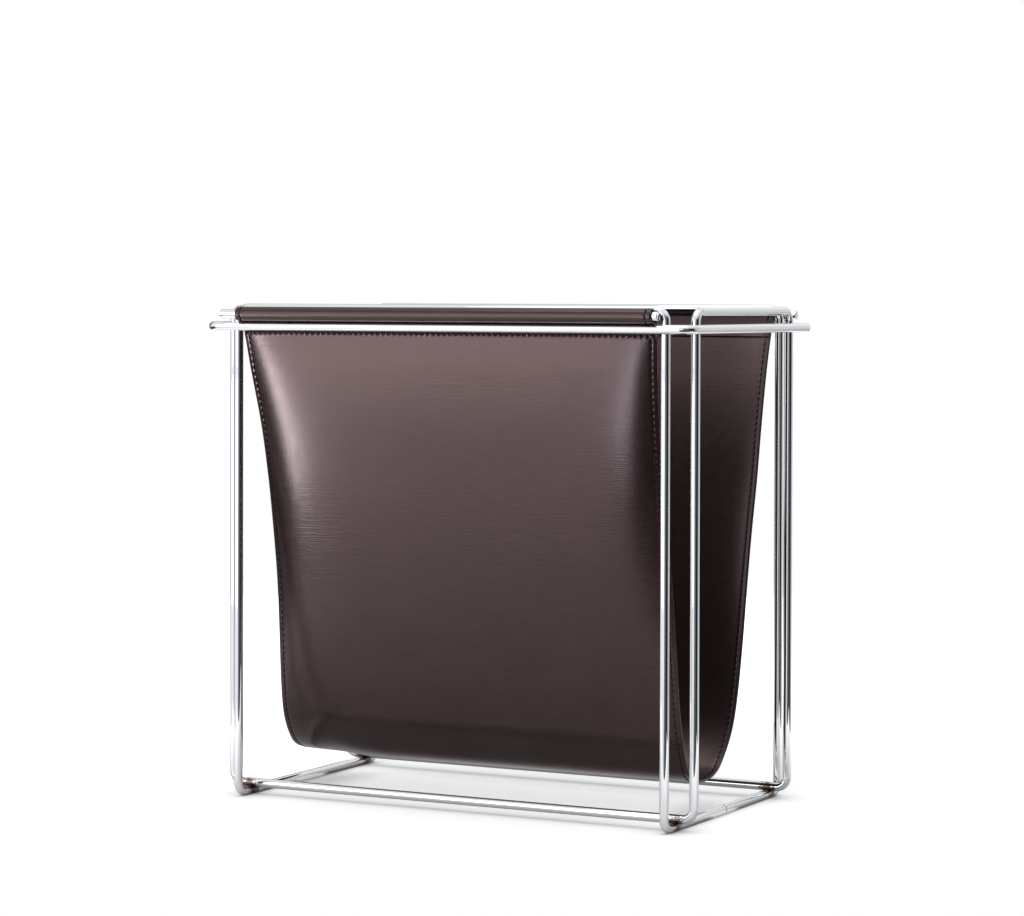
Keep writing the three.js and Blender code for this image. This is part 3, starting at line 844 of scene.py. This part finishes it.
def halfSling():
    # From the bottom up the panel, over the rim's shoulder, round the loose rod and down the
    # inside to the cut edge. The columns are depth, height, curl, half width, drift, the left
    # edge's own curl and the reach of both.
    radius, thick = rodRadius, sling["thickness"]
    sleeveRadius = radius + sling["sleevePlay"] + thick / 2
    shoulderRadius = radius + sling["restGap"] + thick / 2
    restDistance = sleeveRadius + thick / 2 + sling["restGap"] + radius
    run, rise = topHalfY - rimHalfY, topRailZ - rimZ
    span = np.hypot(run, rise)
    reach = np.sqrt(restDistance ** 2 - (span / 2) ** 2)
    hangerY = (rimHalfY + topHalfY) / 2 + reach * rise / span
    hangerZ = (rimZ + topRailZ) / 2 - reach * run / span
    lean = np.radians(sling["lean"])
    panelTopY = rimHalfY - shoulderRadius * np.cos(lean)
    panelTopZ = rimZ + shoulderRadius * np.sin(lean)
    footZ = sling["lift"] + thick / 2
    shares = {}
    for key in ("height", "depth", "curl", "width", "drift", "leftCurl", "reach"):
        sign = -1 if key == "depth" else 1
        mirrored = [sign * value for value in sling[key][:0:-1]]
        whole = smoothThrough(mirrored + list(sling[key]), sling["spanSteps"])
        shares[key] = whole[len(whole) // 2:]
    sleeveHalf = sling["sleeveLength"] / 2
    panel = np.column_stack([
        shares["depth"] * panelTopY, footZ + shares["height"] * (panelTopZ - footZ),
        shares["curl"] * sling["curlDepth"], shares["width"] * sleeveHalf,
        shares["drift"] * sling["sideSwing"], shares["leftCurl"] * sling["curlDepth"], shares["reach"] * mm])
    sleeve = (0, sleeveHalf, panel[-1, 4], 0, panel[-1, 6])

    def arc(centreY, centreZ, size, start, end, count):
        angle = np.linspace(start, end, count)
        return np.column_stack([centreY + size * np.cos(angle), centreZ + size * np.sin(angle),
                                np.tile(sleeve, (count, 1))])

    toHanger = np.arctan2(hangerZ - rimZ, hangerY - rimHalfY)
    shoulder = arc(rimHalfY, rimZ, shoulderRadius, np.pi - lean, toHanger, sling["shoulderSteps"])
    step = thick + sling["layerGap"]
    innerY, innerZ = panelTopY - step * np.cos(lean), panelTopZ + step * np.sin(lean)
    away = np.hypot(hangerY - innerY, hangerZ - innerZ)
    toInner = np.arctan2(innerZ - hangerZ, innerY - hangerY)
    leave = toInner - np.arccos(sleeveRadius / away) + 2 * np.pi
    wrap = arc(hangerY, hangerZ, sleeveRadius, toHanger - np.pi, leave, sling["wrapSteps"])
    # Down the inside the leather lies beside the panel: the same rows, moved one layer in.
    steps = np.linspace(0, 1, sling["flapSteps"])[:, None]
    topRow = np.array([innerY, innerZ, *sleeve])
    straight = wrap[-1] + (topRow - wrap[-1]) * steps
    kept = panel[::-1][pathLengths(panel[::-1]) <= sling["foldLength"]]
    slopeY, slopeZ = np.gradient(kept[:, 0]), np.gradient(kept[:, 1])
    size = np.hypot(slopeY, slopeZ)
    flap = kept.copy()
    flap[:, 0] += step * slopeZ / size
    flap[:, 1] -= step * slopeY / size
    flap[:, 2] *= -1
    joined = sling["joinedSteps"]
    return np.concatenate([panel, shoulder[1:], wrap[1:], straight[1:-joined], flap[joined:]])


def sampleRows(where, place, rows):
    return np.stack([np.interp(where, place, column) for column in rows.T], axis=1)


def pathLengths(path):
    return np.append(0, np.cumsum(np.hypot(*np.diff(path[:, :2], axis=0).T)))


def slingRows():
    # Rows at even distances along the whole path, a whole number to each stitch, and a few
    # close to both cut edges. The place along the path is counted from the bottom.
    half = halfSling()
    path = np.concatenate([half[:0:-1] * (-1, 1, 1, 1, 1, 1, 1), half])
    place = pathLengths(path)
    place -= place[-1] / 2
    # Corners where two stretches meet are eased over a millimetre or two.
    even = np.arange(place[0], place[-1], sling["evenStep"])
    eased = sampleRows(even, place, path)
    around = sling["easedSteps"]
    window = np.hanning(2 * around + 1)
    window /= window.sum()
    padded = np.pad(eased, ((around, around), (0, 0)), mode="reflect", reflect_type="odd")
    eased = np.stack([np.convolve(column, window, mode="valid") for column in padded.T], axis=1)
    end = even[-1]
    step = sling["stitchPitch"] / sling["rowsPerStitch"]
    count = int((end - sling["edgeRound"] * 2) / step)
    rows = np.arange(-count, count + 1) * step
    close = sling["edgeRound"] * np.array(sling["edgeSteps"])
    rows = np.concatenate([-end + close, rows, (end - close)[::-1]])
    return rows, sampleRows(rows, even, eased), end


slingPlace, slingPath, slingEnd = slingRows()
slingHalf = slingPath[:, 3][:, None]
halfThick = sling["thickness"] / 2

# Places along the path, counted from the bottom: where the panel meets the rim, where the hem
# is sewn on the outer face and where that seam comes out in the flap.
onPanel = (slingPlace >= 0) & (slingPlace <= sling["outerLength"])
rimPlace = slingPlace[onPanel][np.argmin(np.abs(slingPath[onPanel, 1] - rimZ))]
hemPlace = rimPlace - sling["hemDrop"]
flapPlace = slingEnd - sling["foldLength"] + sling["hemDrop"]
print("basket: half path", round(slingEnd / mm, 1), "mm, hem at", round(hemPlace / mm, 1), "mm")


def leatherFrame(side, fromEdge):
    # Places on the middle of the leather and the way out of its outer face, for points
    # given by their side and their distance from that side's edge, one row per path row.
    # Near the edge the sheet leaves its plane by curl * exp(-distance / reach), and at the
    # left end by leftCurl * exp(-(distance / leftReach)^leftPower) on top.
    depth, height, curl, half, drift, leftCurl, reach = (column[:, None] for column in slingPath.T)
    slopeY, slopeZ = np.gradient(slingPath[:, 0], slingPlace), np.gradient(slingPath[:, 1], slingPlace)
    size = np.hypot(slopeY, slopeZ)
    inY, inZ = (-slopeZ / size)[:, None], (slopeY / size)[:, None]
    narrow = curl * np.exp(-fromEdge / reach)
    share, power = fromEdge / sling["leftReach"], sling["leftPower"]
    broad = leftCurl * (side < 0) * np.exp(-share ** power)
    inset = narrow + broad
    places = np.stack([side * (half - fromEdge) + drift, depth + inset * inY, height + inset * inZ], axis=-1)
    along = np.stack([np.gradient(places[..., axis], slingPlace, axis=0) for axis in range(3)], axis=-1)
    slope = -narrow / reach - broad * power * share ** (power - 1) / sling["leftReach"]
    inward = np.stack([-side + 0 * inset, slope * inY, slope * inZ], axis=-1)
    out = unit(np.cross(along, inward) * side[..., None])
    bottom = out[len(out) // 2, out.shape[1] // 2]
    return places, out * -np.sign(bottom[2]), unit(along)


def plyColumns(kind):
    # Sides and distances from the edge, close together at the edges and wide in the middle.
    near = np.array(sling[kind + "Columns"]) * mm
    if kind == "fine":
        near = np.append(sling["edgeRound"] * np.array(sling["edgeSteps"]), near)
    share = 1 - near[-1] / (sling["sleeveLength"] / 2)
    inner = np.linspace(-share, share, sling[kind + "Middle"] + 2)[1:-1]
    side = np.concatenate([-np.ones(len(near)), np.where(inner < 0, -1.0, 1.0), np.ones(len(near))])
    fixed = np.concatenate([near, np.full(len(inner), np.nan), near[::-1]])
    shares = np.concatenate([np.zeros(len(near)), 1 - np.abs(inner), np.zeros(len(near))])
    fromEdge = np.where(np.isnan(fixed), shares * slingHalf, fixed)
    return np.broadcast_to(side, fromEdge.shape), fromEdge


def seamRelief(fromEdge):
    # How far the surface sinks: a groove along each side seam and each hem, a pit at each
    # needle hole of a side seam, and between its holes a slight pucker.
    pitch, place = sling["stitchPitch"], slingPlace[:, None]
    fromSeam = fromEdge - sling["seamMargin"]
    relief = sling["grooveDepth"] * np.exp(-(fromSeam / sling["grooveWidth"]) ** 2)
    fromHole = (place / pitch) % 1 - 0.5
    hole = np.exp(-(fromSeam ** 2 + (fromHole * pitch) ** 2) / sling["pitWidth"] ** 2)
    relief = relief + sling["pitDepth"] * hole
    wide = np.exp(-(fromSeam / sling["puckerWidth"]) ** 2)
    relief = relief - sling["puckerHeight"] * wide * np.cos(2 * np.pi * place / pitch)
    for hem in (-hemPlace, hemPlace):
        relief = relief + sling["hemGroove"] * np.exp(-((place - hem) / sling["grooveWidth"]) ** 2)
    return relief


def roundedTo(distance):
    # A quarter ellipse from the square part of a cut edge up to the full thickness.
    share = np.clip(distance / sling["edgeRound"], 0, 1)
    square = sling["squareShare"]
    return square + (1 - square) * np.sqrt(1 - (1 - share) ** 2)


def makePly(name, shown, hidden, hide):
    # One ply: a fine shown face and a coarse hidden one, joined round all four edges.
    fromEnd = (slingEnd - np.abs(slingPlace))[:, None]
    side, fromEdge = plyColumns("fine")
    places, out, _ = leatherFrame(side, fromEdge)
    rounded = roundedTo(fromEdge) * roundedTo(fromEnd)
    fade = np.clip((fromEnd - sling["reliefFrom"]) / sling["reliefFade"], 0, 1)
    relief = seamRelief(fromEdge) * fade
    lift = hidden + (shown - hidden) * rounded - np.sign(shown) * relief
    front = places + lift[..., None] * out
    sideBack, edgeBack = plyColumns("coarse")
    placesBack, outBack, _ = leatherFrame(sideBack, edgeBack)
    back = placesBack + hidden * outBack
    points = np.concatenate([front, back[:, ::-1]], axis=1)
    rows, columns, _ = points.shape
    wide = front.shape[1]
    across = np.concatenate([side * (0.5 - fromEdge / (2 * slingHalf)),
                             (sideBack * (0.5 - edgeBack / (2 * slingHalf)))[:, ::-1]], axis=1)
    along = np.broadcast_to(slingPlace[:, None], across.shape)
    uv = np.stack([along, across * sling["sleeveLength"]], axis=-1).reshape(-1, 2)
    # Each cut end: every fine edge with the nearest coarse point, and every coarse edge with
    # the fine point between.
    coarse = across[0, wide:][::-1]
    nearest = np.searchsorted((coarse[1:] + coarse[:-1]) / 2, across[0, :wide])
    behind = columns - 1 - nearest
    fine, turns = np.arange(wide), np.nonzero(np.diff(nearest) > 0)[0]
    cap = np.concatenate([np.stack([fine[:-1], fine[1:], behind[:-1]], axis=1),
                          np.stack([turns + 1, behind[turns + 1], behind[turns]], axis=1)])
    caps = np.concatenate([cap[:, ::-1], cap + (rows - 1) * columns])
    # The cut color shows at the edges of the shown face and along the sides of the hidden one.
    cutFront = np.exp(-(np.minimum(fromEdge, fromEnd) / sling["edgeWidth"]) ** 2)
    cutEdge = np.concatenate([cutFront, (edgeBack == 0)[:, ::-1]], axis=1).ravel()
    return makeMesh(name, points.reshape(-1, 3), [facesOfGrid(rows, columns), caps], hide,
                    uv=uv, values={"cutEdge": cutEdge}, sharp=sling["sharp"])


# Leather looks
outerHideSettings = {
    "dark": (0.0065, 0.0034, 0.0031),
    "light": (0.0205, 0.0112, 0.0102),
    "cut": (0.012, 0.008, 0.007),
    "toneSpan": (0.38, 0.78),
    "smooth": 0.205,
    "rough": 0.255,
    "roughScale": 120.0,
    "specular": 0.66,
    "specularTint": (1.0, 0.69, 0.70),
    "pebbleScale": 950.0,
    "grainHeight": 0.052 * mm,
    "hemPucker": 0.75 * mm,
}
# The lining: the outer hide's look with darker colors, partly the lining leather's own color and partly
# painted shade for the inside of the basket.
liningHideSettings = {
    **outerHideSettings,
    "dark": (0.0055, 0.003, 0.0026),
    "light": (0.008, 0.0045, 0.004),
    "smooth": 0.30,
    "rough": 0.38,
    "specular": 0.95,
    "grainHeight": 0.028 * mm,
    "hemPucker": None,
}


def makeHide(name, hide):
    material, tree, shader = newMaterial(name)
    cut = addNode(tree, "UVMap", uv_map="cut").outputs["UV"]
    grain = placeEffect(tree, grainGroup, Vector=cut, Scale=hide["pebbleScale"])
    tone = rangeNode(tree, grain["Tone"], hide["toneSpan"], 0.0, 1.0)
    color = mixColor(tree, tone, hide["dark"], hide["light"])
    normal = bumpNode(tree, grain["Height"], hide["grainHeight"])
    if hide["hemPucker"] is not None:
        # Puckers along each hem: a wave across the leather that fades away from the seam.
        along, across, _ = splitNode(tree, cut)
        perStitch = 2 * np.pi / sling["stitchPitch"]
        wave = mathNode(tree, "COSINE", timesNode(tree, across, perStitch))
        fromHem = mathNode(tree, "SUBTRACT", mathNode(tree, "ABSOLUTE", along), float(hemPlace))
        away = timesNode(tree, fromHem, 1 / sling["puckerWidth"])
        fade = timesNode(tree, mathNode(tree, "POWER", away, 2.0), -1.0)
        pucker = timesNode(tree, wave, mathNode(tree, "EXPONENT", fade))
        normal = bumpNode(tree, pucker, hide["hemPucker"], Normal=normal)
    feed(tree, shader, {
        "Base Color": mixColor(tree, meshValue(tree, "cutEdge"), color, hide["cut"]),
        "Roughness": variedNode(tree, cut, hide["roughScale"], hide["smooth"], hide["rough"]),
        "Specular IOR Level": hide["specular"],
        "Specular Tint": hide["specularTint"],
        "Normal": normal,
    })
    return material


plyBack = sling["plyGap"] / 2
outerHide = makeHide("outerHide", outerHideSettings)
liningHide = makeHide("liningHide", liningHideSettings)
outerPly = makePly("leather_outer_ply", halfThick, plyBack, outerHide)
finishPiece(outerPly, "basket", "leather", "sling_outer")
liningPly = makePly("leather_lining_ply", -halfThick, -plyBack, liningHide)
finishPiece(liningPly, "basket", "lining_leather", "sling_lining")
print("basket: leather plies made")


# Stitches: one short bent thread from hole to hole
threadSettings = {
    "radius": 0.37 * mm,
    "flatness": 0.9,
    "endThinness": 0.35,
    "length": 3.9 * mm,
    "raise": 0.55,
    "sink": 0.42 * mm,
    "rings": 7,
    "sides": 6,
    "slant": 5.0,
    "spread": 0.05,
    "dark": (0.009, 0.006, 0.0055),
    "light": (0.022, 0.014, 0.013),
    "toneScale": 900.0,
    "smooth": 0.55,
    "rough": 0.75,
    "roughScale": 1500.0,
    "specular": 0.05,
}


def makeThread(name, thread):
    material, tree, shader = newMaterial(name)
    place = objectPlace(tree)
    tone = variedNode(tree, place, thread["toneScale"], 0.0, 1.0)
    feed(tree, shader, {
        "Base Color": mixColor(tree, tone, thread["dark"], thread["light"]),
        "Roughness": variedNode(tree, place, thread["roughScale"], thread["smooth"], thread["rough"]),
        "Specular IOR Level": thread["specular"],
    })
    return material


waxedThread = makeThread("waxedThread", threadSettings)


def stitchRow(centres, along, out, seed, thread):
    # Every stitch is the same small tube. Its middle line lies raise of its radius above the
    # leather, sinks by sink t^4 into the needle holes at its ends, and it thins there.
    state = np.random.default_rng(seed)
    count, rings, sides = len(centres), thread["rings"], thread["sides"]
    t = np.linspace(-1, 1, rings)
    angle = fullTurn(sides)
    least = thread["endThinness"]
    thin = least + (1 - least) * np.sqrt(np.clip(1 - t ** 4, 0, 1))
    slant = np.radians(thread["slant"]) + state.normal(0, thread["spread"], count)
    across = np.cross(out, along)
    heading = np.cos(slant)[:, None] * along + np.sin(slant)[:, None] * across
    sideways = np.cross(out, heading)
    length = thread["length"] / 2 * (1 + state.normal(0, thread["spread"] / 2, count))
    ring = thread["radius"] * thin[:, None]
    # The four axes of the grid are the stitch, its ring, the side of the ring and the coordinate.
    heading, sideways, outward = (vector[:, None, None, :] for vector in (heading, sideways, out))
    alongPart = t[None, :, None, None] * length[:, None, None, None] * heading
    arch = (thread["radius"] * thread["raise"] - thread["sink"] * t ** 4)[None, :, None, None] * outward
    sidePart = (ring * np.cos(angle))[None, :, :, None] * sideways
    outPart = (ring * thread["flatness"] * np.sin(angle))[None, :, :, None] * outward
    grid = centres[:, None, None, :] + alongPart + arch + sidePart + outPart
    firstCap, lastCap = np.arange(sides)[::-1], np.arange(sides) + (rings - 1) * sides
    starts = (np.arange(count) * rings * sides)[:, None, None]
    walls = (facesOfGrid(rings, sides)[None] + starts).reshape(-1, 4)
    caps = (np.stack([firstCap, lastCap])[None] + starts).reshape(-1, sides)
    return grid.reshape(-1, 3), walls, caps


def joinRows(name, rows):
    points, walls, caps = zip(*rows)
    starts = np.cumsum([0] + [len(part) for part in points[:-1]])
    faceSets = [np.concatenate([part + start for part, start in zip(faces, starts)])
                for faces in (walls, caps)]
    return makeMesh(name, np.concatenate(points), faceSets, waxedThread)


def atPlace(array, place):
    # The values of an array of rows at given places along the path.
    sampled = sampleRows(place, slingPlace, array.reshape(len(slingPlace), -1))
    return sampled.reshape(len(place), *array.shape[1:])


def sideStitches(name, side, seed, threads):
    # Outside from cut end to cut end, and inside between the two flaps.
    pitch = sling["stitchPitch"]
    oneSide = np.full((len(slingPlace), 1), float(side))
    places, out, along = leatherFrame(oneSide, np.full_like(oneSide, sling["seamMargin"]))
    lift = halfThick - sling["grooveDepth"]
    rows = []
    for face, end in ((1, slingEnd), (-1, rimPlace - sling["foldLength"])):
        most = int((end - sling["endMargin"]) / pitch)
        where = np.arange(-most, most + 1) * pitch
        centre, outward, heading = (atPlace(item[:, 0], where) for item in (places, out, along))
        outward, heading = unit(outward) * face, unit(heading)
        rows.append(stitchRow(centre + lift * outward, heading, outward, seed + face, threads))
    return joinRows(name, rows)


def hemStitches(name, side, seed, threads):
    # One row in the outer face just under the rim, and one in the flap inside.
    pitch = sling["stitchPitch"]
    rows = []
    for where, sunk in ((side * hemPlace, sling["hemGroove"]), (side * flapPlace, sling["grooveDepth"])):
        halfWidth = float(np.interp(where, slingPlace, slingPath[:, 3]))
        most = int((halfWidth - sling["seamMargin"] - pitch) / pitch)
        x = np.arange(-most, most + 1) * pitch
        sideOfX = np.where(x < 0, -1.0, 1.0) + np.zeros((len(slingPlace), 1))
        places, out, _ = leatherFrame(sideOfX, slingHalf - np.abs(x))
        centre, outward = (atPlace(item, np.array([where]))[0] for item in (places, out))
        outward = unit(outward)
        heading = unit(np.gradient(centre, axis=0))
        heading = unit(heading - outward * np.einsum("ij,ij->i", heading, outward)[:, None])
        rows.append(stitchRow(centre + (halfThick - sunk) * outward, heading, outward, seed, threads))
        seed += 1
    return joinRows(name, rows)


for name, side, makeSeam, seed in (("left_side", -1, sideStitches, 31), ("right_side", 1, sideStitches, 41),
                                   ("front_hem", -1, hemStitches, 51), ("back_hem", 1, hemStitches, 61)):
    seam = makeSeam(name + "_stitches", side, seed, threadSettings)
    finishPiece(seam, "basket", "thread", name + "_thread")
print("basket: stitches made")

# The strips and the low light reach only the leather: on the rods they would be hard white spots.
leatherOnly = bpy.data.collections.new("leatherOnly")
for piece in (outerPly, liningPly):
    leatherOnly.objects.link(piece)
for key, values in lightSettings.items():
    if values["onlyLeather"]:
        lights[key].light_linking.receiver_collection = leatherOnly
